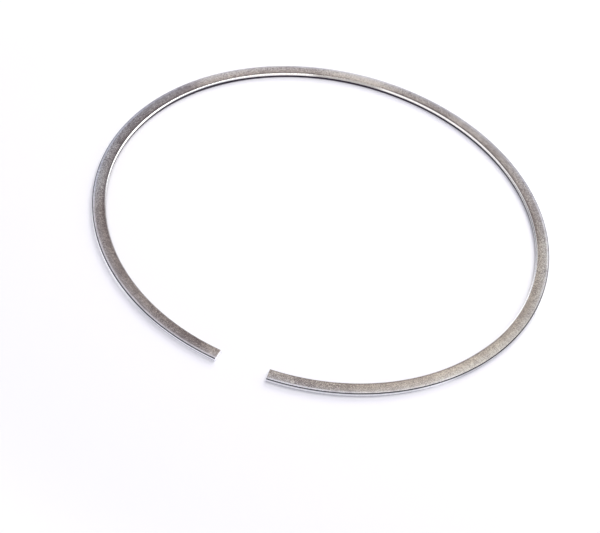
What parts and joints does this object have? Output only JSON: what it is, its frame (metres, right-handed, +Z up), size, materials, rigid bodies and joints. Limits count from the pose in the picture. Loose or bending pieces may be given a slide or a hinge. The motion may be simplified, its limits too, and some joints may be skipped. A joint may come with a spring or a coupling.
{
  "type": "piston ring",
  "caption": "Split compression ring of nitrided steel with a barrel-shaped running face, an inner twist bevel and plain butt ends, lying unloaded with its gap open.",
  "frame": {"origin": "on the surface that the ring lies on, under the middle of its outline", "axes": "+Z up through the ring, away from the lower side face; the gap between the butt ends is towards -Y; the right butt end, with the dot near it, is on the +X side"},
  "size_m": [0.1, 0.098, 0.001],
  "materials": {
    "nitrided_steel": "satin, brown-grey side faces with a brighter running face"
  },
  "bodies": {
    "root": {"compression_ring": "nitrided_steel"}
  },
  "joints": []
}
